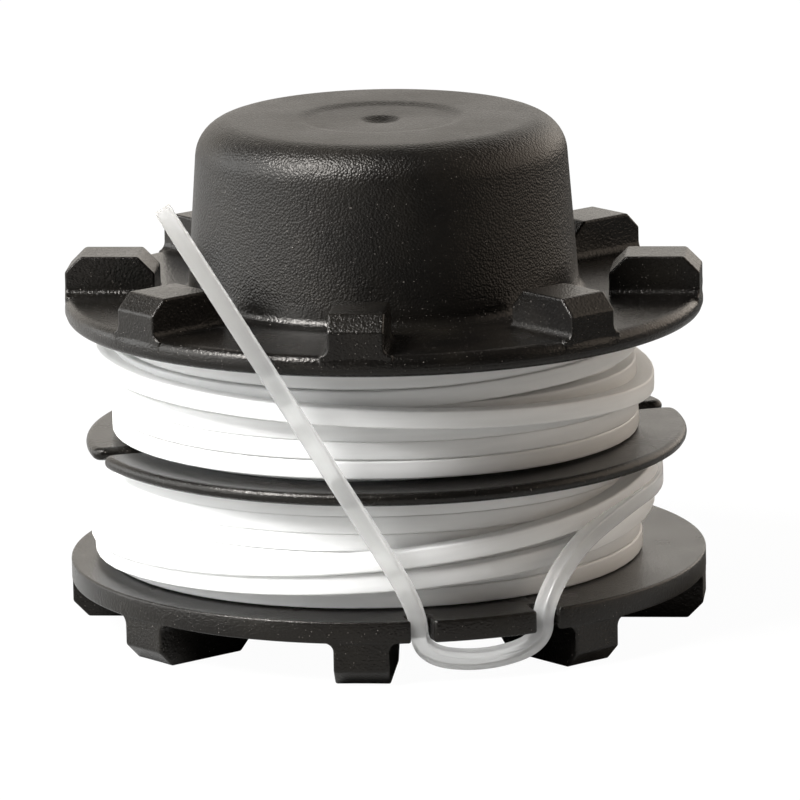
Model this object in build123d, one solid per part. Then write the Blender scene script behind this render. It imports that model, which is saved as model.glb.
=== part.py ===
"""Trimmer line spool: a moulded spool with a bump knob, two chambers of wound cutting line and one parked line end.

Sizes are millimetres. +Z is the spool's axis with the knob up, and the spool stands on its lower lugs at z = 0.
-Y is the front, where the free line end is parked in two notches of the lower flange.
"""

import os
from math import cos, degrees, radians, sin, tan

from build123d import *

# Cutting line
LINE_WIDTH = 2.4

# Levels of the moulding, from the feet up
LOWER_LUG_HEIGHT = 5.7
LOWER_FLANGE_THICKNESS = 2.9
LOWER_CHAMBER_HEIGHT = 14.5
MIDDLE_FLANGE_THICKNESS = 1.7
UPPER_CHAMBER_HEIGHT = 15.6
UPPER_FLANGE_THICKNESS = 2.9
UPPER_LUG_HEIGHT = 5.1
KNOB_HEIGHT = 23.1

# Radii of the moulding
RIM_RADIUS = 41.85
MIDDLE_FLANGE_RADIUS = 39.5
HUB_RADIUS = 24.5
HUB_WALL = 2.6
KNOB_BASE_RADIUS = 25.7
KNOB_TOP_RADIUS = 24.0
KNOB_WALL = 2.8

# Edges of the moulding, and the straight steps that each round of its section is made of
UPPER_RIM_LOWER_CHAMFER = 0.8
UPPER_RIM_TOP_CHAMFER = 0.5
KNOB_BASE_ROUND = 1.6
KNOB_BASE_STEPS = 2
KNOB_SHOULDER_ROUND = 5.0
KNOB_SHOULDER_STEPS = 4
KNOB_INSIDE_CHAMFER = 1.5

# Shallow dish and gate mark on top of the knob
DISH_RADIUS = 11.0
DISH_DEPTH = 0.35
DISH_SLOPE = 1.2
GATE_RADIUS = 2.6
GATE_DEPTH = 0.8

# Spring seat inside the knob
SEAT_OUTER_RADIUS = 8.0
SEAT_WALL = 2.2
SEAT_LENGTH = 10.0

# Lugs
LUG_COUNT = 8
LUG_WIDTH = 7.2
LUG_END_CHAMFER = 2.2
LUG_BASE_FLARE = 1.1
LUG_STAND_OUT = 0.15
UPPER_LUG_INNER_RADIUS = 29.8
LOWER_LUG_INNER_RADIUS = 26.0

# Line slots and notches
MIDDLE_SLOT_CLEARANCE = 0.8
MIDDLE_SLOT_INNER_RADIUS = 27.0
MIDDLE_SLOT_MOUTH_ROUND = 1.5
TAB_HALF_WIDTH = 6.9
NOTCH_DEPTH = 4.6
GUIDE_NOTCH_CLEARANCE = 0.8
GRIP_NOTCH_CLEARANCE = 0.5

# Wound line
WINDING_CLEARANCE = 0.15
TURN_GROOVE = 0.55
ROLL_SIDES = 36
SLACK_DIRECTION = 162.6
UPPER_WINDING_RADIUS = 34.6
UPPER_WINDING_SLACK = 1.4
LOWER_WINDING_RADIUS = 35.2
LOWER_WINDING_SLACK = 1.7
CROSSING_TURN_RISE = 2.0
CROSSING_TURN_TILT = 8.0

# Levels that follow from the sizes above
LOWER_FLANGE_TOP = LOWER_LUG_HEIGHT + LOWER_FLANGE_THICKNESS
MIDDLE_BOTTOM = LOWER_FLANGE_TOP + LOWER_CHAMBER_HEIGHT
MIDDLE_TOP = MIDDLE_BOTTOM + MIDDLE_FLANGE_THICKNESS
UPPER_FLANGE_BOTTOM = MIDDLE_TOP + UPPER_CHAMBER_HEIGHT
UPPER_FLANGE_TOP = UPPER_FLANGE_BOTTOM + UPPER_FLANGE_THICKNESS
KNOB_TOP = UPPER_FLANGE_TOP + KNOB_HEIGHT
BORE_RADIUS = HUB_RADIUS - HUB_WALL
CEILING = KNOB_TOP - KNOB_WALL

# Route of the free line end: from the lower winding round its right side, down the guide notch,
# under the tab, up the grip notch and straight up past the rims to the cut end.
TAIL_ROUTE = [
    (34.4, -8.0, 18.2),
    (32.4, -15.8, 18.2),
    (23.7, -27.3, 18.1),
    (14.2, -35.3, 15.3),
    (8.4, -39.1, 9.1),
    (8.25, -39.1, 3.8),
    (0.0, -39.1, 2.1),
    (-8.25, -39.1, 3.8),
    (-8.5, -39.6, 9.9),
    (-38.8, -31.2, 62.7),
]
ARC_SHARE = 0.45


def stepped_round(before, corner, after, radius, steps):
    """Points that round one corner of a section in straight steps, from the side of before to that of after."""
    back = (Vector(before) - Vector(corner)).normalized()
    ahead = (Vector(after) - Vector(corner)).normalized()
    opening = radians(back.get_angle(ahead))
    centre = Vector(corner) + (back + ahead).normalized() * (radius / sin(opening / 2))
    spoke = Vector(corner) + back * (radius / tan(opening / 2)) - centre
    sweep_angle = 180 - degrees(opening)
    if back.cross(ahead).Z > 0:
        sweep_angle = -sweep_angle
    return [centre + spoke.rotate(Axis.Z, sweep_angle * k / steps) for k in range(steps + 1)]


def beveled(face, corner, size):
    """The face with the corner nearest the given point cut at 45 degrees."""
    picked = face.vertices().sort_by_distance(Vector(*corner))[0]
    return chamfer(picked, size)


def turned_body():
    """The moulding's section, turned about the axis: flanges, hub, hollow knob and spring seat."""
    hollow = KNOB_TOP_RADIUS - KNOB_WALL
    seat_inner = SEAT_OUTER_RADIUS - SEAT_WALL
    seat_end = CEILING - SEAT_LENGTH
    dish_floor = KNOB_TOP - DISH_DEPTH
    rim_top = (RIM_RADIUS, UPPER_FLANGE_TOP)
    knob_foot = (KNOB_BASE_RADIUS, UPPER_FLANGE_TOP)
    knob_edge = (KNOB_TOP_RADIUS, KNOB_TOP)
    dish_edge = (DISH_RADIUS, KNOB_TOP)
    outline = Polyline(
        (BORE_RADIUS, LOWER_LUG_HEIGHT),
        (RIM_RADIUS, LOWER_LUG_HEIGHT),
        (RIM_RADIUS, LOWER_FLANGE_TOP),
        (HUB_RADIUS, LOWER_FLANGE_TOP),
        (HUB_RADIUS, MIDDLE_BOTTOM),
        (MIDDLE_FLANGE_RADIUS, MIDDLE_BOTTOM),
        (MIDDLE_FLANGE_RADIUS, MIDDLE_TOP),
        (HUB_RADIUS, MIDDLE_TOP),
        (HUB_RADIUS, UPPER_FLANGE_BOTTOM),
        (RIM_RADIUS, UPPER_FLANGE_BOTTOM),
        rim_top,
        *stepped_round(rim_top, knob_foot, knob_edge, KNOB_BASE_ROUND, KNOB_BASE_STEPS),
        *stepped_round(knob_foot, knob_edge, dish_edge, KNOB_SHOULDER_ROUND, KNOB_SHOULDER_STEPS),
        dish_edge,
        (DISH_RADIUS - DISH_SLOPE, dish_floor),
        (GATE_RADIUS, dish_floor),
        (0, dish_floor - GATE_DEPTH),
        (0, CEILING),
        (seat_inner, CEILING),
        (seat_inner, seat_end),
        (SEAT_OUTER_RADIUS, seat_end),
        (SEAT_OUTER_RADIUS, CEILING),
        (hollow, CEILING),
        (hollow, UPPER_FLANGE_BOTTOM),
        (BORE_RADIUS, UPPER_FLANGE_BOTTOM),
        close=True,
    )
    section = make_face(outline)
    section = beveled(section, (RIM_RADIUS, UPPER_FLANGE_BOTTOM), UPPER_RIM_LOWER_CHAMFER)
    section = beveled(section, rim_top, UPPER_RIM_TOP_CHAMFER)
    section = beveled(section, (hollow, CEILING), KNOB_INSIDE_CHAMFER)
    return revolve(Plane.XZ * section, Axis.Z)


def lug(inner_radius, height, root):
    """One lug along +X, standing on z = 0 and rooted below it, with chamfered ends and flared sides."""
    outer = RIM_RADIUS + LUG_STAND_OUT
    side = make_face(
        Polyline(
            (inner_radius, -root),
            (outer + 1, -root),
            (outer + 1, height - LUG_END_CHAMFER - 1),
            (outer - LUG_END_CHAMFER, height),
            (inner_radius + LUG_END_CHAMFER, height),
            (inner_radius, height - LUG_END_CHAMFER),
            close=True,
        )
    )
    half = LUG_WIDTH / 2
    wide = half + LUG_BASE_FLARE
    front = make_face(
        Polyline(
            (-wide, -root),
            (wide, -root),
            (wide, 0),
            (half, LUG_BASE_FLARE),
            (half, height),
            (-half, height),
            (-half, LUG_BASE_FLARE),
            (-wide, 0),
            close=True,
        )
    )
    along = extrude(Plane.XZ * side, wide, both=True)
    across = extrude(Plane.YZ * front, outer + 2)
    rim = Pos(0, 0, -root - 1) * Cylinder(outer, height + root + 2, align=(Align.CENTER, Align.CENTER, Align.MIN))
    return along & across & rim


def lugs(one):
    """The lug repeated round the axis, half a pitch off the X axis."""
    pitch = 360 / LUG_COUNT
    return [Rot(0, 0, pitch * (k + 0.5)) * one for k in range(LUG_COUNT)]


def middle_slot():
    """Cutter for one radial slot of the middle flange along +X, with a rounded mouth."""
    width = LINE_WIDTH + MIDDLE_SLOT_CLEARANCE
    bend = MIDDLE_SLOT_MOUTH_ROUND
    start = MIDDLE_FLANGE_RADIUS - bend
    run = start - MIDDLE_SLOT_INNER_RADIUS + bend + 2
    shape = Pos(MIDDLE_SLOT_INNER_RADIUS + run / 2, 0) * Rectangle(run, width)
    shape += Pos(MIDDLE_SLOT_INNER_RADIUS, 0) * Circle(width / 2)
    mouth = Pos(start + bend, 0) * Rectangle(2 * bend, width + 2 * bend)
    for side in (1, -1):
        mouth -= Pos(start, side * (width / 2 + bend)) * Circle(bend)
    shape += mouth
    return Pos(0, 0, MIDDLE_BOTTOM - 1) * extrude(shape, MIDDLE_FLANGE_THICKNESS + 2)


def notch(start, width):
    """Cutter for one notch of the lower flange at the front, from start to start + width along X."""
    floor = RIM_RADIUS - NOTCH_DEPTH
    reach = NOTCH_DEPTH + 1
    shape = Pos(start + width / 2, -floor - reach / 2) * Rectangle(width, reach)
    return Pos(0, 0, LOWER_LUG_HEIGHT - 1) * extrude(shape, LOWER_FLANGE_THICKNESS + 2)


def notch_pair():
    """Both notches beside the tab: a wide guide notch on the right and a narrow grip notch on the left."""
    guide = LINE_WIDTH + GUIDE_NOTCH_CLEARANCE
    grip = LINE_WIDTH + GRIP_NOTCH_CLEARANCE
    return [notch(TAB_HALF_WIDTH, guide), notch(-TAB_HALF_WIDTH - grip, grip)]


def spool_body():
    """The whole moulding."""
    upper_root = UPPER_FLANGE_THICKNESS - UPPER_RIM_LOWER_CHAMFER
    lower_root = LOWER_FLANGE_THICKNESS / 2
    upper = lug(UPPER_LUG_INNER_RADIUS, UPPER_LUG_HEIGHT, upper_root)
    lower = lug(LOWER_LUG_INNER_RADIUS, LOWER_LUG_HEIGHT, lower_root)
    body = turned_body()
    body += lugs(Pos(0, 0, UPPER_FLANGE_TOP) * upper)
    body += lugs(Pos(0, 0, LOWER_LUG_HEIGHT) * Rot(180, 0, 0) * lower)
    slot = middle_slot()
    body -= [slot, Rot(0, 0, 180) * slot]
    for cutter in notch_pair():
        body -= [cutter, Rot(0, 0, 180) * cutter]
    return body


def slack_shift(slack):
    """How far a loose winding hangs off the axis towards its slack side."""
    angle = radians(SLACK_DIRECTION)
    return Pos(slack * cos(angle), slack * sin(angle), 0)


def stacked(levels):
    """A solid of flat facets through round levels, each given as its height and radius."""
    return loft([Pos(0, 0, height) * RegularPolygon(radius, ROLL_SIDES) for height, radius in levels], ruled=True)


def ridged_roll(bottom, top, radius):
    """A roll of line whose outside shows its turns as ridges."""
    turns = int((top - bottom) / LINE_WIDTH)
    pitch = (top - bottom) / turns
    levels = [(bottom, radius - TURN_GROOVE)]
    for k in range(turns):
        levels.append((bottom + pitch * (k + 0.5), radius))
        levels.append((bottom + pitch * (k + 1), radius - TURN_GROOVE))
    return stacked(levels)


def hub_hole(bottom, top):
    """The hole that a winding leaves for the hub."""
    depth = top - bottom + 2
    low = (Align.CENTER, Align.CENTER, Align.MIN)
    return Pos(0, 0, bottom - 1) * Cylinder(HUB_RADIUS + WINDING_CLEARANCE, depth, align=low)


def upper_winding():
    """The line in the upper chamber."""
    bottom = MIDDLE_TOP + WINDING_CLEARANCE
    top = UPPER_FLANGE_BOTTOM - WINDING_CLEARANCE
    roll = slack_shift(UPPER_WINDING_SLACK) * ridged_roll(bottom, top, UPPER_WINDING_RADIUS)
    return roll - hub_hole(bottom, top)


def lower_winding():
    """The line in the lower chamber, with one turn laid at a slant over the others."""
    bottom = LOWER_FLANGE_TOP + WINDING_CLEARANCE
    top = MIDDLE_BOTTOM - WINDING_CLEARANCE
    roll = ridged_roll(bottom, top, LOWER_WINDING_RADIUS)
    middle = (bottom + top) / 2
    reach = LOWER_WINDING_RADIUS + CROSSING_TURN_RISE
    half = LINE_WIDTH / 2
    slanted = stacked([(-half, reach - half), (-half / 2, reach), (half / 2, reach), (half, reach - half)])
    lean = Pos(0, 0, middle) * Rot(0, 0, SLACK_DIRECTION) * Rot(0, CROSSING_TURN_TILT, 0)
    roll = slack_shift(LOWER_WINDING_SLACK) * (roll + lean * slanted)
    return roll - hub_hole(bottom, top)


def line_tail():
    """The free line end as a plain round tube of straight runs joined by tangent arcs."""
    points = [Vector(*p) for p in TAIL_ROUTE]
    radii = []
    for before, here, after in zip(points, points[1:], points[2:]):
        shorter = min((here - before).length, (after - here).length)
        turn = radians((here - before).get_angle(after - here))
        radii.append(ARC_SHARE * shorter * cos(turn / 2) / sin(turn / 2))
    print("tail radii", [round(r, 1) for r in radii])
    path = FilletPolyline(*points, radius=radii)
    tube = sweep(Plane(path @ 0, z_dir=path % 0) * Circle(LINE_WIDTH / 2), path=path)
    print("tail length", round(path.length, 2), "volume over length", round(tube.volume / path.length, 3))
    return tube


def main():
    """Build each node and write it to its own file."""
    os.makedirs("parts", exist_ok=True)
    export_step(spool_body(), "parts/spool_body.step")
    export_step(upper_winding(), "parts/upper_line_winding.step")
    export_step(lower_winding(), "parts/lower_line_winding.step")
    export_step(line_tail(), "parts/line_tail.step")


main()
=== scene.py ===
"""Trimmer line spool: a black moulded spool, two windings of white line and one free line end.

Sizes in the classes are millimetres in the part's own frame: +Z is the spool's axis with the knob
up, the spool stands on its lower lugs at z = 0, and -Y is the front, where the free end is parked.
Meshes are made in metres. Azimuths are degrees from the photograph's camera, positive towards the
right of the picture.
"""

import logging
import math
from dataclasses import dataclass
from enum import Enum
from typing import Any, Sequence

import bmesh
import bpy
from mathutils import Matrix, Vector


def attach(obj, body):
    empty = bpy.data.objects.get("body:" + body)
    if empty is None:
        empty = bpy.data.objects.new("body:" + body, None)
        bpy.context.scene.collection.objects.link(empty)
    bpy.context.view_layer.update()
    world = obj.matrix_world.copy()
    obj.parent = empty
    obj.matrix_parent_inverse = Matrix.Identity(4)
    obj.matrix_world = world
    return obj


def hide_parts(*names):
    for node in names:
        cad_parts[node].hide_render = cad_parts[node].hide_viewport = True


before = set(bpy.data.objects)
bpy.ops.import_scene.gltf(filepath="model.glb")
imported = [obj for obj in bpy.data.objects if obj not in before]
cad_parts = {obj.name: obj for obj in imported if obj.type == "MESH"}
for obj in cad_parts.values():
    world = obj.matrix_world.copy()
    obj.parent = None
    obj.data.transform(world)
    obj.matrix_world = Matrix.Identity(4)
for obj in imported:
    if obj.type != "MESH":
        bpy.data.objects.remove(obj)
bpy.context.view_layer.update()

Point = tuple[float, float]
Place = tuple[float, float, float]
Corner = tuple[float, float, float]
Tree = bpy.types.NodeTree
Socket = bpy.types.NodeSocket

MM = 0.001
LINE_WIDTH = 2.4
HUB_RADIUS = 24.5
LOWER_FLANGE: Point = (5.7, 8.6)
MIDDLE_FLANGE: Point = (23.1, 24.8)
UPPER_FLANGE: Point = (40.4, 43.3)
CAMERA_AZIMUTH = -17.4
BODY = "root"
LOG = logging.getLogger("trimmer_line_spool")


class Slot(Enum):
    """Material slots of the part's record."""

    BLACK_NYLON = "black_nylon"
    WHITE_LINE = "white_line"


class Lay(Enum):
    """How the flat sides of a line are kept as it is swept along its path."""

    ROUND_THE_AXIS = "Z_UP"
    ALONG_THE_LINE = "MINIMUM_TWIST"


def linear(colour: str) -> tuple[float, float, float, float]:
    """Turn an sRGB hex colour into linear light.

    Args:
        colour: The colour as "#rrggbb".

    Returns:
        Red, green, blue and an alpha of 1.
    """
    parts = [int(colour[i:i + 2], 16) / 255 for i in (1, 3, 5)]
    r, g, b = [c / 12.92 if c <= 0.04045 else ((c + 0.055) / 1.055) ** 2.4 for c in parts]
    return r, g, b, 1.0


def towards(azimuth: float, elevation: float = 0.0) -> Vector:
    """Find the direction from the spool to a place round it.

    Args:
        azimuth: The place's azimuth.
        elevation: Its angle above the floor, in degrees.

    Returns:
        The direction, one unit long.
    """
    a, e = math.radians(azimuth + CAMERA_AZIMUTH), math.radians(elevation)
    return Vector((math.sin(a) * math.cos(e), -math.cos(a) * math.cos(e), math.sin(e)))


def add_node(tree: Tree, kind: str, inputs: dict[Any, Any] | None = None,
             **settings: Any) -> bpy.types.Node:
    """Add a node, set its properties, and fill or link its inputs.

    Args:
        tree: The tree that the node goes into.
        kind: The node's type name.
        inputs: Values or output sockets, by input name or number.
        **settings: The node's own properties.

    Returns:
        The new node.
    """
    node = tree.nodes.new(kind)
    for name, value in settings.items():
        setattr(node, name, value)
    for key, value in (inputs or {}).items():
        if isinstance(value, Socket):
            tree.links.new(value, node.inputs[key])
        else:
            node.inputs[key].default_value = value
    return node


def maths(tree: Tree, operation: str, *values: Any) -> Socket:
    """Work out a number from others.

    Args:
        tree: The tree that the node goes into.
        operation: The operation's name.
        *values: Numbers or output sockets.

    Returns:
        The result.
    """
    inputs = dict(enumerate(values))
    return add_node(tree, "ShaderNodeMath", inputs, operation=operation).outputs[0]


def ramp(tree: Tree, value: Socket, ends: Point, unit: float = 1.0) -> Socket:
    """Turn a value into a share from 0 to 1.

    Args:
        tree: The tree that the node goes into.
        value: The value.
        ends: Where the share is 0 and where it is 1.
        unit: The unit of the ends, in that of the value.

    Returns:
        The share.
    """
    inputs = {0: value, 1: ends[0] * unit, 2: ends[1] * unit}
    return add_node(tree, "ShaderNodeMapRange", inputs).outputs[0]


def noise(tree: Tree, spot: Socket, scale: float, detail: float) -> Socket:
    """Add cloudy noise.

    Args:
        tree: The tree that the node goes into.
        spot: Where the noise is read.
        scale: Lumps of noise in one unit of length.
        detail: How many finer layers it has.

    Returns:
        The noise, about 0.5 on average.
    """
    inputs = {"Vector": spot, "Scale": scale, "Detail": detail}
    return add_node(tree, "ShaderNodeTexNoise", inputs).outputs["Fac"]


def mix_colours(tree: Tree, share: Socket, first: str | Socket, second: str | Socket) -> Socket:
    """Mix two colours.

    Args:
        tree: The tree that the node goes into.
        share: How much of the second colour shows.
        first: The first colour, as a hex colour or an output socket.
        second: The second colour, likewise.

    Returns:
        The mixed colour.
    """
    a, b = [linear(c) if isinstance(c, str) else c for c in (first, second)]
    return add_node(tree, "ShaderNodeMix", {0: share, 6: a, 7: b}, data_type="RGBA").outputs[2]


def new_material(name: str) -> tuple[bpy.types.Material, Tree]:
    """Start a material with an empty tree.

    Args:
        name: The material's name.

    Returns:
        The material and its tree.
    """
    mat = bpy.data.materials.new(name)
    mat.use_nodes = True
    mat.node_tree.nodes.clear()
    return mat, mat.node_tree


def put(name: str, data: bpy.types.ID) -> bpy.types.Object:
    """Put a mesh, curve, lamp or camera into the scene as an object at the origin.

    Args:
        name: The object's name.
        data: What it shows.

    Returns:
        The object.
    """
    obj = bpy.data.objects.new(name, data)
    bpy.context.scene.collection.objects.link(obj)
    return obj


def to_mesh(name: str, shape: bmesh.types.BMesh) -> bpy.types.Mesh:
    """Turn a finished shape into a mesh.

    Args:
        name: The mesh's name.
        shape: The shape, which is freed.

    Returns:
        The mesh.
    """
    mesh = bpy.data.meshes.new(name)
    shape.to_mesh(mesh)
    shape.free()
    return mesh


def settle(obj: bpy.types.Object) -> bpy.types.Object:
    """Turn an object with modifiers, or a curve, into a plain mesh object of the same name.

    Args:
        obj: The object, which is removed.

    Returns:
        The plain mesh object.
    """
    name = obj.name
    graph = bpy.context.evaluated_depsgraph_get()
    mesh = bpy.data.meshes.new_from_object(obj.evaluated_get(graph), depsgraph=graph)
    bpy.data.objects.remove(obj)
    mesh.name = name
    return put(name, mesh)


def run_tree(obj: bpy.types.Object, tree: Tree, values: dict[str, Any]) -> bpy.types.Object:
    """Run a Geometry Nodes tree on an object and keep its result as a plain mesh.

    Args:
        obj: The object that the tree works on.
        tree: The tree.
        values: The tree's inputs, by name.

    Returns:
        The plain mesh object.
    """
    modifier = obj.modifiers.new(tree.name, "NODES")
    modifier.node_group = tree
    for item in tree.interface.items_tree:
        if item.item_type == "SOCKET" and item.in_out == "INPUT" and item.name in values:
            modifier[item.identifier] = values[item.name]
    return settle(obj)


def new_tree(name: str, inputs: dict[str, str]) -> Tree:
    """Start a Geometry Nodes tree with named inputs.

    Args:
        name: The tree's name.
        inputs: Socket types by input name.

    Returns:
        The tree, with its geometry input and output declared.
    """
    tree = bpy.data.node_groups.new(name, "GeometryNodeTree")
    tree.interface.new_socket("Geometry", in_out="INPUT", socket_type="NodeSocketGeometry")
    for label, kind in inputs.items():
        tree.interface.new_socket(label, in_out="INPUT", socket_type=kind)
    tree.interface.new_socket("Geometry", in_out="OUTPUT", socket_type="NodeSocketGeometry")
    return tree


def end_tree(tree: Tree, shape: Socket, material: Socket) -> None:
    """End a Geometry Nodes tree with a real mesh that has its material.

    Args:
        tree: The tree.
        shape: What it has made.
        material: The material's input.
    """
    real = add_node(tree, "GeometryNodeRealizeInstances", {0: shape})
    dressed = add_node(tree, "GeometryNodeSetMaterial", {
        0: real.outputs[0], "Material": material})
    add_node(tree, "NodeGroupOutput", {0: dressed.outputs[0]})


def add_spline(curve: bpy.types.Curve, kind: str, points: Sequence[Any]) -> bpy.types.Spline:
    """Add a spline to a curve.

    Args:
        curve: The curve.
        kind: The spline's type name.
        points: The spline's points, in metres.

    Returns:
        The spline.
    """
    spline = curve.splines.new(kind)
    spline.points.add(len(points) - 1)
    for point, spot in zip(spline.points, points):
        point.co = (*spot, 1)
    return spline


def round_corner(before: Point, corner: Point, after: Point, radius: float,
                 steps: int = 6) -> list[Point]:
    """Round one corner of a flat outline.

    Args:
        before: The point before the corner.
        corner: The corner.
        after: The point after it.
        radius: Radius of the round.
        steps: Number of straight steps.

    Returns:
        The points that take the corner's place.
    """
    c = Vector(corner)
    back = (Vector(before) - c).normalized()
    ahead = (Vector(after) - c).normalized()
    half = back.angle(ahead) / 2
    centre = c + (back + ahead).normalized() * (radius / math.sin(half))
    spoke = c + back * (radius / math.tan(half)) - centre
    turn = math.pi - 2 * half
    if back.cross(ahead) > 0:
        turn = -turn
    points = [centre + Matrix.Rotation(turn * k / steps, 2) @ spoke for k in range(steps + 1)]
    return [(p.x, p.y) for p in points]


def rounded_outline(corners: Sequence[Corner], steps: int) -> list[Point]:
    """Round the corners of a closed outline.

    Args:
        corners: Each corner's two coordinates and its radius, 0 for a sharp one.
        steps: Straight steps in each round.

    Returns:
        The outline's points.
    """
    points: list[Point] = []
    for k, (x, y, radius) in enumerate(corners):
        before = corners[k - 1][:2]
        after = corners[(k + 1) % len(corners)][:2]
        points += round_corner(before, (x, y), after, radius, steps) if radius else [(x, y)]
    return points


@dataclass(frozen=True)
class MouldedNylon:
    """Glass-filled black nylon from a spark-eroded mould.

    To the eye it is a warm black with a broad satin sheen. The knob has a leathery grain that
    breaks the sheen into small glints, and the flanges and lugs are smoother and glossier. Sparse
    pale specks in the colour stand for dust and worn mould edges and are partly painted glints of
    the glass fibres. Ranges are the noise at which a tint begins and is full. The knob's edge and
    foot are the radii and heights over which its finish comes in.
    """

    name: str = "moulded_black_nylon"
    colour: str = "#090807"
    worn_colour: str = "#110f0c"
    worn_range: Point = (0.42, 0.72)
    cloud_size: float = 9.0
    cloud_roughness: float = 0.2
    # Sparse pale specks: dust, and partly painted glints of the glass fibres.
    dust_and_glint_colour: str = "#75706b"
    dust_and_glint_size: float = 0.22
    dust_and_glint_range: Point = (0.73, 0.81)
    sheen_tint: str = "#fffaf4"
    ior: float = 1.34
    knob_roughness: float = 0.27
    flange_roughness: float = 0.15
    knob_grain: float = 0.3
    knob_grain_softness: float = 0.35
    knob_relief: float = 0.072
    flange_grain: float = 0.33
    flange_relief: float = 0.084
    knob_edge: Point = (28.2, 27.0)
    knob_foot: Point = (44.7, 46.5)
    edge_round: float = 0.25

    def on_knob(self, tree: Tree, spot: Socket) -> Socket:
        """Tell the knob from the rest of the moulding.

        Args:
            tree: The material's tree.
            spot: The place on the moulding.

        Returns:
            1 on the knob and 0 elsewhere, with a soft change at the knob's foot.
        """
        axes = add_node(tree, "ShaderNodeSeparateXYZ", {0: spot}).outputs
        flat = add_node(tree, "ShaderNodeCombineXYZ", {0: axes[0], 1: axes[1]})
        reach = add_node(tree, "ShaderNodeVectorMath", {0: flat.outputs[0]}, operation="LENGTH")
        inner = ramp(tree, reach.outputs["Value"], self.knob_edge, MM)
        above = ramp(tree, axes[2], self.knob_foot, MM)
        return maths(tree, "MULTIPLY", inner, above)

    def normal(self, tree: Tree, spot: Socket, knob: Socket) -> Socket:
        """Raise the grain and soften the sharp edges.

        Args:
            tree: The material's tree.
            spot: The place on the moulding.
            knob: 1 on the knob and 0 elsewhere.

        Returns:
            The surface's normal.
        """
        leathery = add_node(tree, "ShaderNodeTexVoronoi", {
            "Vector": spot, "Scale": 1 / (self.knob_grain * MM),
            "Smoothness": self.knob_grain_softness}, feature="SMOOTH_F1")
        fine = noise(tree, spot, 1 / (self.flange_grain * MM), detail=2.0)
        height = add_node(tree, "ShaderNodeMix", {
            0: knob,
            2: maths(tree, "MULTIPLY", fine, self.flange_relief * MM),
            3: maths(tree, "MULTIPLY", leathery.outputs["Distance"], -self.knob_relief * MM),
        }, data_type="FLOAT")
        edge = add_node(tree, "ShaderNodeBevel", {"Radius": self.edge_round * MM}, samples=4)
        return add_node(tree, "ShaderNodeBump", {
            "Strength": 1.0, "Distance": 1.0, "Height": height.outputs[0],
            "Normal": edge.outputs[0]}).outputs[0]

    def tint(self, tree: Tree, spot: Socket, cloud: Socket) -> Socket:
        """Colour the plastic, lighter where it is worn, with sparse pale specks of dust that are
        partly painted glints.

        Args:
            tree: The material's tree.
            spot: The place on the moulding.
            cloud: How worn it is there.

        Returns:
            The colour.
        """
        base = mix_colours(tree, ramp(tree, cloud, self.worn_range), self.colour, self.worn_colour)
        # Pale specks: dust, partly painted glints that stand in for the glass fibres' sparkle.
        dust_and_glint = noise(tree, spot, 1 / (self.dust_and_glint_size * MM), detail=1.0)
        return mix_colours(tree, ramp(tree, dust_and_glint, self.dust_and_glint_range), base, self.dust_and_glint_colour)

    def material(self) -> bpy.types.Material:
        """Build the material.

        Returns:
            The material.
        """
        mat, tree = new_material(self.name)
        spot = add_node(tree, "ShaderNodeTexCoord").outputs["Object"]
        knob = self.on_knob(tree, spot)
        cloud = noise(tree, spot, 1 / (self.cloud_size * MM), detail=3.0)
        satin = add_node(tree, "ShaderNodeMapRange", {
            0: knob, 3: self.flange_roughness, 4: self.knob_roughness})
        rough = maths(tree, "MULTIPLY_ADD", cloud, self.cloud_roughness, satin.outputs[0])
        surface = add_node(tree, "ShaderNodeBsdfPrincipled", {
            "Base Color": self.tint(tree, spot, cloud), "Roughness": rough, "IOR": self.ior,
            "Specular Tint": linear(self.sheen_tint), "Normal": self.normal(tree, spot, knob)})
        add_node(tree, "ShaderNodeOutputMaterial", {"Surface": surface.outputs[0]})
        return mat


@dataclass(frozen=True)
class ExtrudedLine:
    """Extruded nylon cutting line, undyed.

    To the eye it is milky white and see-through, so light creeps into it and its shaded side stays
    soft and grey, with a gloss drawn out lengthways by fine lines from the die. A single strand is
    clear and glossy. Line packed on the hub is duller and hides what is under it. The two lengths
    of a pattern are its size across the line and along it.
    """

    name: str
    clearness: float
    glow_through: float
    roughness: float
    colour: str = "#fafaf9"
    shade_colour: str = "#f0f0ef"
    shade_range: Point = (0.35, 0.7)
    ior: float = 1.53
    die_lines: Point = (0.35, 40.0)
    die_relief: float = 0.02
    milkiness: Point = (1.5, 14.0)

    def drawn_noise(self, tree: Tree, section: Socket, size: Point) -> Socket:
        """Add noise that is drawn out along the line.

        Args:
            tree: The material's tree.
            section: The place in the line's section and along the line.
            size: The noise's size across the line and along it.

        Returns:
            The noise.
        """
        across, along = (1 / (length * MM) for length in size)
        spot = add_node(tree, "ShaderNodeVectorMath", {
            0: section, 1: (across, across, along)}, operation="MULTIPLY")
        return noise(tree, spot.outputs[0], scale=1.0, detail=2.0)

    def material(self) -> bpy.types.Material:
        """Build the material.

        Returns:
            The material.
        """
        mat, tree = new_material(self.name)
        section = add_node(tree, "ShaderNodeAttribute", attribute_name="section").outputs["Vector"]
        bump = add_node(tree, "ShaderNodeBump", {
            "Strength": 1.0, "Distance": self.die_relief * MM,
            "Height": self.drawn_noise(tree, section, self.die_lines)})
        milk = self.drawn_noise(tree, section, self.milkiness)
        tint = mix_colours(tree, ramp(tree, milk, self.shade_range), self.colour, self.shade_colour)
        surface = add_node(tree, "ShaderNodeBsdfPrincipled", {
            "Base Color": tint, "Roughness": self.roughness, "IOR": self.ior,
            "Transmission Weight": self.clearness, "Normal": bump.outputs[0]})
        through = add_node(tree, "ShaderNodeBsdfTranslucent", {"Color": tint})
        both = add_node(tree, "ShaderNodeMixShader", {
            0: self.glow_through, 1: surface.outputs[0], 2: through.outputs[0]})
        add_node(tree, "ShaderNodeOutputMaterial", {"Surface": both.outputs[0]})
        return mat


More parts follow.
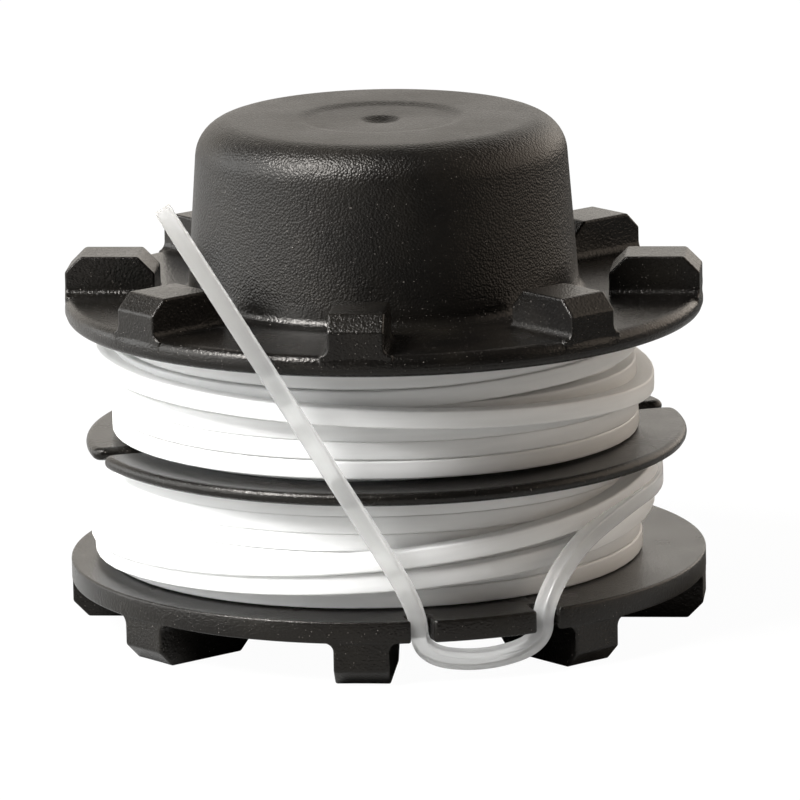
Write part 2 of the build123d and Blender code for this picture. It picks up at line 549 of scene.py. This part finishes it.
@dataclass
class SpoolMoulding:
    """The black moulding: hub with a hollow knob, three flanges, two rings of lugs, slots, notches.

    The crown gives the radius and depth of each point of the dish and the gate mark on the knob.
    """

    name: str = "spool_moulding"
    rim: float = 41.84
    rim_lower_round: float = 1.0
    rim_top_round: float = 1.3
    parting_rise: float = 1.05
    parting_step: float = 0.1
    parting_bevel: float = 0.06
    middle_rim: float = 39.5
    bore: float = 21.9
    hollow: float = 21.2
    hollow_chamfer: float = 1.5
    knob_base: float = 25.7
    knob_base_round: float = 1.6
    knob_top: float = 24.0
    knob_shoulder: float = 5.0
    knob_height: float = 66.4
    ceiling: float = 63.6
    seat_inner: float = 5.8
    seat_outer: float = 8.0
    seat_foot: float = 53.6
    crown: Sequence[Point] = (
        (11.6, 0.0), (11.0, 0.04), (10.3, 0.2), (9.8, 0.33), (9.2, 0.35),
        (3.0, 0.35), (2.6, 0.42), (2.0, 0.75), (1.2, 1.05), (0.0, 1.15),
    )
    flange_root: float = 0.6
    lower_flange_edge: float = 0.3
    middle_flange_edge: float = 0.8
    lug_count: int = 8
    lug_width: float = 7.2
    lug_chamfer: float = 2.2
    lug_flare: float = 1.1
    lug_edge: float = 0.38
    lug_set_back: float = 0.02
    upper_lug_height: float = 5.1
    upper_lug_inner: float = 29.8
    upper_lug_root: float = 1.8
    lower_lug_inner: float = 26.0
    lower_lug_root: float = 1.6
    slot_width: float = 3.2
    slot_end: float = 27.0
    slot_end_round: float = 1.568
    slot_mouth: float = 1.5
    slot_mouth_gap: float = 0.2
    slot_mouth_angle: float = 4.0
    tab_half: float = 6.9
    notch_depth: float = 4.6
    notch_round: float = 0.5
    notch_outer_round: float = 0.35
    guide_notch: float = 3.2
    grip_notch: float = 2.9
    around: int = 192
    arc_step: float = 2.0
    smooth_angle: float = 32.0
    soft_angle: float = 35.0

    def section(self) -> list[Point]:
        """Draw the turned section, from the foot of the hub up its outside and down its inside.

        Returns:
            Radius and height of each point.
        """
        foot = LOWER_FLANGE[0]
        low, high = UPPER_FLANGE
        top = self.knob_height
        under = self.rim - self.parting_step
        parting = low + self.parting_rise
        base, edge = (self.knob_base, high), (self.knob_top, top)
        return [
            (self.bore, foot),
            (HUB_RADIUS, foot),
            (HUB_RADIUS, low),
            *round_corner((HUB_RADIUS, low), (under, low), (under, high), self.rim_lower_round),
            (under, parting),
            (self.rim, parting + self.parting_bevel),
            *round_corner((self.rim, low), (self.rim, high), (HUB_RADIUS, high),
                          self.rim_top_round),
            *round_corner((self.rim, high), base, edge, self.knob_base_round),
            *round_corner(base, edge, (0, top), self.knob_shoulder, steps=12),
            *((radius, top - depth) for radius, depth in self.crown),
            (0, self.ceiling),
            (self.seat_inner, self.ceiling),
            (self.seat_inner, self.seat_foot),
            (self.seat_outer, self.seat_foot),
            (self.seat_outer, self.ceiling),
            (self.hollow - self.hollow_chamfer, self.ceiling),
            (self.hollow, self.ceiling - self.hollow_chamfer),
            (self.hollow, low),
            (self.bore, low),
        ]

    def turned(self) -> bpy.types.Mesh:
        """Turn the section about the axis.

        Returns:
            The closed mesh of hub, upper flange and knob.
        """
        shape = bmesh.new()
        verts = [shape.verts.new((r * MM, 0, z * MM)) for r, z in self.section()]
        edges = [shape.edges.new((a, b)) for a, b in zip(verts, verts[1:] + verts[:1])]
        bmesh.ops.spin(shape, geom=verts + edges, axis=(0, 0, 1), cent=(0, 0, 0),
                       angle=2 * math.pi, steps=self.around, use_merge=True)
        bmesh.ops.remove_doubles(shape, verts=shape.verts, dist=1e-6)
        bmesh.ops.dissolve_degenerate(shape, dist=1e-7, edges=shape.edges)
        bmesh.ops.recalc_face_normals(shape, faces=shape.faces)
        for face in shape.faces:
            face.smooth = True
        for edge in shape.edges:
            edge.smooth = edge.calc_face_angle(0) < math.radians(self.smooth_angle)
        return to_mesh("turned_body", shape)

    def arc(self, radius: float, start: float, end: float) -> list[Corner]:
        """Walk along a circle in even steps.

        Args:
            radius: The circle's radius.
            start: Angle of the first point from +X, in degrees.
            end: Angle of the last point.

        Returns:
            The points as sharp corners of an outline.
        """
        steps = max(2, round((end - start) / self.arc_step))
        angles = [math.radians(start + (end - start) * k / steps) for k in range(steps + 1)]
        return [(radius * math.cos(a), radius * math.sin(a), 0.0) for a in angles]

    def notched_half(self) -> list[Corner]:
        """Outline the lower flange's front half: rim, grip notch, tab, guide notch and rim.

        Returns:
            The outline's corners, from the left round the front to the right.
        """
        sides = (-self.tab_half - self.grip_notch, -self.tab_half,
                 self.tab_half, self.tab_half + self.guide_notch)
        inner, outer = self.notch_round, self.notch_outer_round
        mouths = [(x, -math.sqrt(self.rim ** 2 - x * x), r)
                  for x, r in zip(sides, (outer, inner, inner, outer))]
        angles = [-math.degrees(math.acos(x / self.rim)) for x in sides] + [0.0]
        floor = self.notch_depth - self.rim
        points = self.arc(self.rim, -180.0, angles[0])[:-1]
        for k in (0, 2):
            points += [mouths[k], (sides[k], floor, inner), (sides[k + 1], floor, inner),
                       mouths[k + 1]]
            points += self.arc(self.rim, angles[k + 1], angles[k + 2])[1:-1]
        return points

    def slotted_half(self) -> list[Corner]:
        """Outline the middle flange's right half, with its line slot along +X.

        Returns:
            The outline's corners, from the front round the right to the back.
        """
        half = self.slot_width / 2
        edge = math.degrees(math.asin((half + self.slot_mouth_gap) / self.middle_rim))
        mouth = self.middle_rim * math.cos(math.radians(edge))
        clear = edge + self.slot_mouth_angle
        return [
            *self.arc(self.middle_rim, -90, -clear),
            (mouth, -half, self.slot_mouth),
            (self.slot_end, -half, self.slot_end_round),
            (self.slot_end, half, self.slot_end_round),
            (mouth, half, self.slot_mouth),
            *self.arc(self.middle_rim, clear, 90)[:-1],
        ]

    def flange(self, name: str, half: list[Corner], levels: Point,
               edge: float) -> bpy.types.Object:
        """Raise a flat flange with softened edges from half of its outline.

        Args:
            name: The piece's name.
            half: Corners of half the outline; the other half is the same, turned by 180 degrees.
            levels: Heights of its underside and top.
            edge: Radius of its edges.

        Returns:
            The flange as a mesh object.
        """
        outer = rounded_outline(half + [(-x, -y, r) for x, y, r in half], steps=4)
        hole = [p[:2] for p in self.arc(HUB_RADIUS - self.flange_root, 0, 360 - self.arc_step)]
        curve = bpy.data.curves.new(name, "CURVE")
        curve.dimensions = "2D"
        curve.fill_mode = "BOTH"
        curve.extrude = ((levels[1] - levels[0]) / 2 - edge) * MM
        curve.bevel_depth = edge * MM
        curve.bevel_resolution = 3
        curve.offset = -edge * MM
        for outline in (outer, hole):
            spline = add_spline(curve, "POLY", [(x * MM, y * MM, 0) for x, y in outline])
            spline.use_cyclic_u = True
        flat = settle(put(name, curve))
        flat.data.transform(Matrix.Translation((0, 0, sum(levels) / 2 * MM)))
        return flat

    def lug(self, name: str, inner: float, height: float, root: float) -> bpy.types.Object:
        """Model one lug along +X, standing on z = 0, with chamfered ends and a flared foot.

        Args:
            name: The piece's name.
            inner: Radius of its inner end.
            height: Its height.
            root: How far it reaches into its flange.

        Returns:
            The lug as a mesh object.
        """
        half = self.lug_width / 2
        wide = half + self.lug_flare
        foot = round_corner((wide + half, 0), (half, 0), (half, height), self.lug_flare)
        right = [(wide, -root)] + foot + [(half, height), (half / 3, height)]
        front = right + [(-y, z) for y, z in reversed(right)]
        outer = self.rim - self.lug_set_back
        shape = bmesh.new()
        near = [shape.verts.new((inner * MM, y * MM, z * MM)) for y, z in front]
        far = [shape.verts.new((math.sqrt(outer ** 2 - y * y) * MM, y * MM, z * MM))
               for y, z in front]
        shape.faces.new(reversed(near))
        shape.faces.new(far)
        for k in range(len(front)):
            n = (k + 1) % len(front)
            shape.faces.new((near[k], near[n], far[n], far[k]))
        for x, side in ((outer, 1), (inner, -1)):
            cut = bmesh.ops.bisect_plane(
                shape, geom=shape.verts[:] + shape.edges[:] + shape.faces[:], dist=1e-7,
                plane_co=(x * MM, 0, (height - self.lug_chamfer) * MM), plane_no=(side, 0, 1),
                clear_outer=True)
            rim = [e for e in cut["geom_cut"] if isinstance(e, bmesh.types.BMEdge)]
            bmesh.ops.edgenet_fill(shape, edges=rim)
        bmesh.ops.recalc_face_normals(shape, faces=shape.faces)
        for face in shape.faces:
            face.smooth = True
        obj = put(name, to_mesh(name, shape))
        soft = obj.modifiers.new("soft_edges", "BEVEL")
        soft.width = self.lug_edge * MM
        soft.segments = 3
        soft.limit_method = "ANGLE"
        soft.angle_limit = math.radians(self.soft_angle)
        soft.harden_normals = True
        return settle(obj)

    def lug_ring(self) -> Tree:
        """Build the tree that repeats a lug round the axis.

        Returns:
            The tree, with the count, the first lug's angle and the material as inputs.
        """
        tree = new_tree("lug_ring", {
            "Count": "NodeSocketInt", "First Angle": "NodeSocketFloat",
            "Material": "NodeSocketMaterial"})
        entry = add_node(tree, "NodeGroupInput").outputs
        spots = add_node(tree, "GeometryNodePoints", {"Count": entry["Count"]})
        number = add_node(tree, "GeometryNodeInputIndex")
        share = maths(tree, "DIVIDE", number.outputs[0], entry["Count"])
        turn = maths(tree, "MULTIPLY_ADD", share, 2 * math.pi, entry["First Angle"])
        angles = add_node(tree, "ShaderNodeCombineXYZ", {2: turn})
        ring = add_node(tree, "GeometryNodeInstanceOnPoints", {
            "Points": spots.outputs[0], "Instance": entry["Geometry"],
            "Rotation": angles.outputs[0]})
        end_tree(tree, ring.outputs[0], entry["Material"])
        return tree

    def build(self, finish: MouldedNylon) -> bpy.types.Object:
        """Make the whole moulding and put it in the place of its CAD node.

        Args:
            finish: Its material.

        Returns:
            The moulding.
        """
        material = finish.material()
        ring = self.lug_ring()
        inputs = {"Count": self.lug_count, "First Angle": math.pi / self.lug_count,
                  "Material": material}
        foot, shelf = LOWER_FLANGE[0], UPPER_FLANGE[1]
        upper = self.lug("upper_lugs", self.upper_lug_inner, self.upper_lug_height,
                         self.upper_lug_root)
        upper.data.transform(Matrix.Translation((0, 0, shelf * MM)))
        lower = self.lug("lower_lugs", self.lower_lug_inner, foot, self.lower_lug_root)
        upside_down = Matrix.Rotation(math.pi, 4, "X")
        lower.data.transform(Matrix.Translation((0, 0, foot * MM)) @ upside_down)
        pieces = [
            put("turned_body", self.turned()),
            self.flange("lower_flange", self.notched_half(), LOWER_FLANGE, self.lower_flange_edge),
            self.flange("middle_flange", self.slotted_half(), MIDDLE_FLANGE,
                        self.middle_flange_edge),
            run_tree(upper, ring, inputs),
            run_tree(lower, ring, inputs),
        ]
        whole = bmesh.new()
        for piece in pieces:
            piece.data.materials.clear()
            whole.from_mesh(piece.data)
            bpy.data.objects.remove(piece)
        mesh = to_mesh(self.name, whole)
        mesh.materials.append(material)
        obj = put(self.name, mesh)
        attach(obj, BODY)
        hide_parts("spool_body")
        LOG.info("spool moulding: %d faces", len(mesh.polygons))
        return obj


@dataclass(frozen=True)
class LineSweep:
    """The square section of the line, swept along a path."""

    width: float
    corner: float
    corner_steps: int = 4

    def tree(self, lay: Lay) -> Tree:
        """Build the tree that sweeps the line's section along a curve.

        It also keeps each point's place in the section and along the line for the material.

        Args:
            lay: How the section's sides are kept.

        Returns:
            The tree, with the width, the corner radius, the twist and the material as inputs.
        """
        tree = new_tree("line_sweep_" + lay.name.lower(), {
            "Width": "NodeSocketFloat", "Corner Radius": "NodeSocketFloat",
            "Twist": "NodeSocketFloat", "Material": "NodeSocketMaterial"})
        entry = add_node(tree, "NodeGroupInput").outputs
        turned = add_node(tree, "GeometryNodeSetCurveNormal", {
            "Curve": entry["Geometry"]}, mode=lay.value)
        along = add_node(tree, "GeometryNodeSplineParameter").outputs
        twisted = add_node(tree, "GeometryNodeSetCurveTilt", {
            "Curve": turned.outputs[0],
            "Tilt": maths(tree, "MULTIPLY", along["Factor"], entry["Twist"])})
        path = add_node(tree, "GeometryNodeCaptureAttribute", {"Geometry": twisted.outputs[0]})
        path.capture_items.new("FLOAT", "Length")
        tree.links.new(along["Length"], path.inputs["Length"])
        square = add_node(tree, "GeometryNodeCurvePrimitiveQuadrilateral", {
            "Width": entry["Width"], "Height": entry["Width"]})
        soft = add_node(tree, "GeometryNodeFilletCurve", {
            "Curve": square.outputs[0], "Count": self.corner_steps,
            "Radius": entry["Corner Radius"]}, mode="POLY")
        spot = add_node(tree, "GeometryNodeInputPosition")
        profile = add_node(tree, "GeometryNodeCaptureAttribute", {"Geometry": soft.outputs[0]})
        profile.capture_items.new("VECTOR", "Spot")
        tree.links.new(spot.outputs[0], profile.inputs["Spot"])
        tube = add_node(tree, "GeometryNodeCurveToMesh", {
            "Curve": path.outputs["Geometry"], "Profile Curve": profile.outputs["Geometry"],
            "Fill Caps": True})
        axes = add_node(tree, "ShaderNodeSeparateXYZ", {0: profile.outputs["Spot"]}).outputs
        section = add_node(tree, "ShaderNodeCombineXYZ", {
            0: axes[0], 1: axes[1], 2: path.outputs["Length"]})
        kept = add_node(tree, "GeometryNodeStoreNamedAttribute", {
            "Geometry": tube.outputs[0], "Name": "section", "Value": section.outputs[0]},
            data_type="FLOAT_VECTOR")
        smooth = add_node(tree, "GeometryNodeSetShadeSmooth", {"Geometry": kept.outputs[0]})
        end_tree(tree, smooth.outputs[0], entry["Material"])
        return tree

    def along(self, name: str, points: Sequence[Vector], lay: Lay, material: bpy.types.Material,
              twist: float = 0.0) -> bpy.types.Object:
        """Sweep the line along points.

        Args:
            name: The piece's name.
            points: The line's centre, in metres.
            lay: How the section's sides are kept.
            material: The line's material.
            twist: Turn of the section from start to end, in degrees.

        Returns:
            The line as a mesh object.
        """
        curve = bpy.data.curves.new(name, "CURVE")
        curve.dimensions = "3D"
        add_spline(curve, "POLY", points)
        return run_tree(put(name, curve), self.tree(lay), {
            "Width": self.width * MM, "Corner Radius": self.corner * MM,
            "Twist": math.radians(twist), "Material": material})


@dataclass
class LineWinding:
    """Line wound on the hub: neat inner layers, then outer turns laid as the photograph shows them.

    The line runs clockwise seen from above, so its azimuth falls along it. An outer turn gives the
    height of the line at each station, which are the back, the right, half right, the front, half
    left and the left, and how far it stands off the last layer. Loose line hangs off the axis by
    the slack, in the slack direction, which is measured from +X.
    """

    name: str
    node: str
    floor: float
    ceiling: float
    outer: float
    slack: float
    turns: Sequence[tuple[tuple[float, ...], float]]
    ending: Sequence[Place]
    stations: tuple[float, ...] = (180.0, 90.0, 45.0, 0.0, -45.0, -90.0)
    inner_layers: int = 3
    hub_gap: float = 0.1
    level_turn: float = 0.5
    climb_turn: float = 0.25
    slack_direction: float = 162.6
    steps: int = 60

    def spot(self, azimuth: float, radius: float, height: float, share: float = 1.0) -> Vector:
        """Place a point of the line.

        Args:
            azimuth: The point's azimuth.
            radius: Distance from the winding's own centre.
            height: Height above the foot of the spool.
            share: How much of the slack the layer has, 0 at the hub and 1 outside.

        Returns:
            The point, in metres.
        """
        angle = math.radians(azimuth + CAMERA_AZIMUTH - 90)
        hang = math.radians(self.slack_direction)
        x = radius * math.cos(angle) + self.slack * share * math.cos(hang)
        y = radius * math.sin(angle) + self.slack * share * math.sin(hang)
        return Vector((x, y, height)) * MM

    def inner(self) -> list[Vector]:
        """Lay the neat inner layers, up and down the hub by turns.

        A layer ends with part of a turn that runs level, and the last of it climbs to the next.

        Returns:
            Points of the line, ending at the bottom of the last layer at the back.
        """
        first = HUB_RADIUS + LINE_WIDTH / 2 + self.hub_gap
        pitch = (self.outer - first) / self.inner_layers
        low, high = self.floor + LINE_WIDTH / 2, self.ceiling - LINE_WIDTH / 2
        rounds = int((self.ceiling - self.floor) / LINE_WIDTH)
        count = rounds * self.steps
        points: list[Vector] = []
        for layer in range(self.inner_layers):
            falling = (self.inner_layers - layer) % 2 == 1
            start, end = (high, low) if falling else (low, high)
            for k in range(count):
                share = k / count
                climb = max(0.0, (share - 1) * rounds / self.climb_turn + 1)
                radius = first + pitch * (layer + climb * climb * (3 - 2 * climb))
                rise = min(1.0, share * rounds / (rounds - self.level_turn))
                height = start + (end - start) * rise
                azimuth = 180 - 360 * rounds * share
                points.append(self.spot(azimuth, radius, height, layer / self.inner_layers))
        return points

    def route(self) -> list[Place]:
        """List the stations of the outer turns.

        Returns:
            Azimuth, height and stand-off of each station, with the azimuth falling along the line.
        """
        listed: list[Place] = []
        for number, (heights, lift) in enumerate(self.turns):
            listed += [(a - 360 * number, z, lift) for a, z in zip(self.stations, heights)]
        return listed + [(a - 360 * len(self.turns), z, lift) for a, z, lift in self.ending]

    def outside(self) -> list[Vector]:
        """Draw the outer turns smoothly through their stations.

        Returns:
            Points of the line, from the back of the first outer turn to its end.
        """
        listed = self.route()
        points: list[Vector] = []
        for k in range(len(listed) - 1):
            before = listed[max(k - 1, 0)]
            start, end = listed[k], listed[k + 1]
            after = listed[min(k + 2, len(listed) - 1)]
            span = start[0] - end[0]
            count = max(2, round(span * self.steps / 360))
            for n in range(count):
                t = n / count
                values = []
                for i in (1, 2):
                    slope_in = (end[i] - before[i]) / (before[0] - end[0])
                    slope_out = (after[i] - start[i]) / (start[0] - after[0])
                    ease = 3 * t ** 2 - 2 * t ** 3
                    lean = (t ** 3 - 2 * t ** 2 + t) * slope_in + (t ** 3 - t ** 2) * slope_out
                    values.append((1 - ease) * start[i] + ease * end[i] + span * lean)
                height, lift = values
                points.append(self.spot(start[0] - span * t, self.outer + lift, height))
        azimuth, height, lift = listed[-1]
        points.append(self.spot(azimuth, self.outer + lift, height))
        return points

    def build(self, sweep: LineSweep, material: bpy.types.Material) -> bpy.types.Object:
        """Make the winding and put it in the place of its CAD node.

        Args:
            sweep: The line's section.
            material: The line's material.

        Returns:
            The winding.
        """
        points = self.inner() + self.outside()
        length = sum((b - a).length for a, b in zip(points, points[1:]))
        obj = sweep.along(self.name, points, Lay.ROUND_THE_AXIS, material)
        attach(obj, BODY)
        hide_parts(self.node)
        LOG.info("%s: %.2f m of line in its turns, %d faces", self.name, length,
                 len(obj.data.polygons))
        return obj


@dataclass
class FreeEnd:
    """The line's free end: off the winding, down one notch, under the tab, up the other and away.

    Its route's points control a smooth curve.
    """

    name: str = "line_free_end"
    node: str = "line_tail"
    length: float = 131.8
    twist: float = 19.8
    route: Sequence[Place] = (
        (34.4, -8.0, 18.2),
        (32.4, -15.8, 18.2),
        (23.7, -27.3, 18.1),
        (14.2, -35.3, 15.3),
        (8.4, -39.1, 9.1),
        (8.25, -39.1, 3.8),
        (0.0, -39.1, 2.1),
        (-8.25, -39.1, 3.8),
        (-8.5, -39.6, 9.9),
        (-15.5, -37.66, 22.1),
        (-38.8, -31.2, 62.7),
    )

    def path(self) -> list[Vector]:
        """Read points along the smooth curve.

        Returns:
            The points, in metres.
        """
        curve = bpy.data.curves.new("free_end_route", "CURVE")
        curve.dimensions = "3D"
        curve.resolution_u = 16
        spline = add_spline(curve, "NURBS", [[c * MM for c in spot] for spot in self.route])
        spline.order_u = 3
        spline.use_endpoint_u = True
        line = settle(put("free_end_route", curve))
        points = [v.co.copy() for v in line.data.vertices]
        bpy.data.objects.remove(line)
        return points

    def build(self, sweep: LineSweep, material: bpy.types.Material) -> bpy.types.Object:
        """Make the free end as a cord and put it in the place of its CAD node.

        Args:
            sweep: The line's section.
            material: The line's material.

        Returns:
            The free end.
        """
        path = self.path()
        obj = sweep.along(self.name, path, Lay.ALONG_THE_LINE, material, self.twist)
        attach(obj, BODY)
        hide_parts(self.node)
        LOG.info("free end: %d points along it", len(path))
        return obj


@dataclass(frozen=True)
class SoftPanel:
    """A big soft panel of light, far off, that fades out towards its edge.

    Edge and core are the cosines of the angles from the panel's middle at which its light begins
    and is full.
    """

    azimuth: float
    edge: float
    core: float
    strength: float
    colour: str

    def add_to(self, tree: Tree, way: Socket, total: Socket) -> Socket:
        """Add the panel to the light that comes from each direction.

        Args:
            tree: The world's tree.
            way: The direction.
            total: The light so far.

        Returns:
            The light with this panel.
        """
        facing = add_node(tree, "ShaderNodeVectorMath", {
            0: way, 1: towards(self.azimuth)}, operation="DOT_PRODUCT")
        glow = add_node(tree, "ShaderNodeMapRange", {
            0: facing.outputs["Value"], 1: self.edge, 2: self.core, 4: self.strength},
            interpolation_type="SMOOTHSTEP")
        return add_node(tree, "ShaderNodeVectorMath", {
            0: linear(self.colour)[:3], 1: glow.outputs[0], 2: total},
            operation="MULTIPLY_ADD").outputs[0]


@dataclass(frozen=True)
class SoftLamp:
    """A soft lamp that faces the spool. Its size and distance are metres and its power is watts."""

    name: str
    azimuth: float
    elevation: float
    size: Point
    power: float
    distance: float = 1.0
    aim: float = 35.0

    def hang(self) -> None:
        """Put the lamp into the scene.

        It hangs at its distance from the aim, which is a height on the spool's axis, and faces it.
        """
        light = bpy.data.lights.new(self.name, "AREA")
        light.shape = "RECTANGLE"
        light.size, light.size_y = self.size
        light.energy = self.power
        way = towards(self.azimuth, self.elevation)
        obj = put(self.name, light)
        obj.location = Vector((0, 0, self.aim * MM)) + way * self.distance
        obj.rotation_euler = way.to_track_quat("Z", "Y").to_euler()


@dataclass(frozen=True)
class PaperSweep:
    """White paper under the spool.

    To the eye it is plain white, with a faint shadow where the spool keeps the light off. In
    reflections and as bounced light it is grey, with painted shade that is darker towards the right
    and a set grey near the spool, so the plastic stays black. Reaches are metres from the spool's
    axis.
    """

    name: str = "white_paper_sweep"
    colour: str = "#f4f4f3"
    glow: float = 0.97
    # Painted shade: the paper's greys in reflections and bounced light.
    left_painted_shade: str = "#bfbfbe"
    right_painted_shade: str = "#585857"
    near_painted_shade: str = "#a2a2a1"
    side_reach: Point = (-0.2, 0.06)
    near_reach: Point = (0.2, 0.075)

    def bounced(self, tree: Tree) -> Socket:
        """Colour the paper as reflections and bounced light see it, with painted shade: grey,
        darker towards the right and a set grey near the spool.

        Args:
            tree: The material's tree.

        Returns:
            The colour.
        """
        spot = add_node(tree, "ShaderNodeTexCoord").outputs["Object"]
        aside = add_node(tree, "ShaderNodeVectorMath", {
            0: spot, 1: towards(90.0)}, operation="DOT_PRODUCT").outputs["Value"]
        reach = add_node(tree, "ShaderNodeVectorMath", {0: spot}, operation="LENGTH")
        near = ramp(tree, reach.outputs["Value"], self.near_reach)
        # Painted shade: in reflections the paper turns grey, darker to the right and a set grey
        # near the spool.
        far_painted_shade = mix_colours(tree, ramp(tree, aside, self.side_reach), self.left_painted_shade,
                                 self.right_painted_shade)
        return mix_colours(tree, near, far_painted_shade, self.near_painted_shade)

    def material(self) -> bpy.types.Material:
        """Build the material.

        Returns:
            The material.
        """
        mat, tree = new_material(self.name)
        rays = add_node(tree, "ShaderNodeLightPath").outputs
        seen = maths(tree, "MAXIMUM", rays["Is Camera Ray"], rays["Is Transmission Ray"])
        tone = mix_colours(tree, seen, self.bounced(tree), self.colour)
        paper = add_node(tree, "ShaderNodeBsdfDiffuse", {"Color": tone})
        white = add_node(tree, "ShaderNodeEmission", {"Color": (1, 1, 1, 1), "Strength": 1.0})
        both = add_node(tree, "ShaderNodeMixShader", {
            0: maths(tree, "MULTIPLY", seen, self.glow), 1: paper.outputs[0],
            2: white.outputs[0]})
        add_node(tree, "ShaderNodeOutputMaterial", {"Surface": both.outputs[0]})
        return mat


@dataclass
class Studio:
    """A white floor, a backdrop, soft light from the left, and the photograph's camera.

    The camera's aim is a height on the axis, and it is then shifted aside and up in its own view.
    """

    floor_half: float = 4.0
    room_colour: str = "#322f2d"
    panels: Sequence[SoftPanel] = (
        SoftPanel(184, 0.45, 0.85, 1.12, "#fff9f0"),
        SoftPanel(-87, 0.62, 0.9, 4.6, "#fcfeff"),
        SoftPanel(110, 0.5, 0.9, 1.8, "#fff0e0"),
    )
    lamp: SoftLamp = SoftLamp("key_light", -56, 47, (0.3, 0.42), 27.0)
    aim: float = 23.1
    distance: float = 1200.0
    elevation: float = 12.36
    roll: float = 1.066
    lens: float = 410.3
    aside: float = 1.75
    above: float = 5.25

    def floor(self) -> bpy.types.Object:
        """Lay the floor.

        Returns:
            The floor.
        """
        shape = bmesh.new()
        bmesh.ops.create_grid(shape, x_segments=1, y_segments=1, size=self.floor_half)
        mesh = to_mesh("floor", shape)
        mesh.materials.append(PaperSweep().material())
        obj = put("floor", mesh)
        return obj

    def world(self) -> None:
        """Set the panels round the spool and leave the rest of the room dim.

        Each panel adds its light to the directions that it fills.
        """
        world = bpy.data.worlds.new("studio")
        bpy.context.scene.world = world
        world.use_nodes = True
        tree = world.node_tree
        tree.nodes.clear()
        way = add_node(tree, "ShaderNodeTexCoord").outputs["Generated"]
        total = add_node(tree, "ShaderNodeRGB").outputs[0]
        total.default_value = linear(self.room_colour)
        for panel in self.panels:
            total = panel.add_to(tree, way, total)
        light = add_node(tree, "ShaderNodeBackground", {"Color": total, "Strength": 1.0})
        add_node(tree, "ShaderNodeOutputWorld", {"Surface": light.outputs[0]})

    def camera(self) -> None:
        """Set the camera up as the photograph's.

        It looks at its aim from afar, is rolled about its view and is then shifted.
        """
        back = towards(0.0, self.elevation)
        right = towards(90.0)
        up = back.cross(right)
        roll = math.radians(self.roll)
        across = right * math.cos(roll) - up * math.sin(roll)
        upright = right * math.sin(roll) + up * math.cos(roll)
        shift = across * self.aside + upright * self.above
        spot = Vector((0, 0, self.aim)) + back * self.distance + shift
        data = bpy.data.cameras.new("camera")
        data.lens = self.lens
        data.sensor_width = 36.0
        data.clip_start = 0.05
        data.clip_end = 50.0
        obj = put("camera", data)
        turn = Matrix((across, upright, back)).transposed().to_4x4()
        obj.matrix_world = Matrix.Translation(spot * MM) @ turn
        bpy.context.scene.camera = obj

    def build(self) -> None:
        """Set up floor, light and camera.

        Colours are shown as they are, with no film look.
        """
        self.floor()
        self.world()
        self.lamp.hang()
        self.camera()
        bpy.context.scene.view_settings.view_transform = "Standard"


UPPER_WINDING = LineWinding(
    name="upper_line_turns", node="upper_line_winding",
    floor=MIDDLE_FLANGE[1], ceiling=UPPER_FLANGE[0], outer=33.4, slack=1.4,
    turns=(
        ((26.1, 26.1, 26.4, 26.8, 26.9, 26.9), 0.0),
        ((27.5, 28.3, 28.8, 29.3, 29.5, 29.6), 0.0),
        ((30.0, 30.6, 31.1, 31.7, 32.0, 32.1), -0.1),
        ((32.5, 33.0, 33.6, 34.0, 34.4, 34.6), -0.2),
        ((35.5, 37.0, 36.7, 36.0, 36.3, 36.7), 0.0),
        ((38.3, 39.1, 38.8, 38.5, 38.8, 39.0), -0.3),
        ((34.0, 31.0, 32.3, 34.0, 35.3, 36.1), 2.1),
    ),
    ending=((180.0, 36.7, 1.6), (120.0, 36.9, 0.8)),
)
LOWER_WINDING = LineWinding(
    name="lower_line_turns", node="lower_line_winding",
    floor=LOWER_FLANGE[1], ceiling=MIDDLE_FLANGE[0], outer=34.0, slack=1.7,
    turns=(
        ((9.9, 9.9, 9.9, 10.0, 10.0, 10.0), 0.0),
        ((11.5, 12.2, 12.3, 12.4, 12.5, 12.7), -0.2),
        ((13.7, 14.5, 14.7, 14.9, 15.0, 15.1), 0.0),
        ((16.1, 16.8, 17.1, 17.4, 17.5, 17.6), -0.2),
        ((18.5, 19.2, 19.5, 19.8, 19.9, 20.0), 0.0),
        ((20.9, 21.6, 21.7, 21.8, 21.8, 21.8), -0.1),
        ((20.1, 16.3, 14.1, 12.4, 11.3, 10.9), 1.7),
        ((14.1, 20.3, 17.8, 15.3, 13.6, 13.1), 2.2),
    ),
    ending=((180.0, 16.3, 2.2), (94.3, 18.2, 3.0)),
)
PACKED_LINE = ExtrudedLine("extruded_white_nylon_packed", clearness=0.08, glow_through=0.28,
                           roughness=0.34)
SINGLE_LINE = ExtrudedLine("extruded_white_nylon_strand", clearness=0.85, glow_through=0.32,
                           roughness=0.2)


def main() -> None:
    """Build the spool, its line and the studio.
    """
    logging.basicConfig(level=logging.INFO, format="%(name)s: %(message)s")
    Studio().build()
    wound = LineSweep(width=2.42, corner=0.3)
    free = LineSweep(width=2.12, corner=0.26)
    packed = PACKED_LINE.material()
    FreeEnd().build(free, SINGLE_LINE.material())
    UPPER_WINDING.build(wound, packed)
    LOWER_WINDING.build(wound, packed)
    SpoolMoulding().build(MouldedNylon())
    LOG.info("%d CAD nodes are stood for", len(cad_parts))


if __name__ == "__main__":
    main()
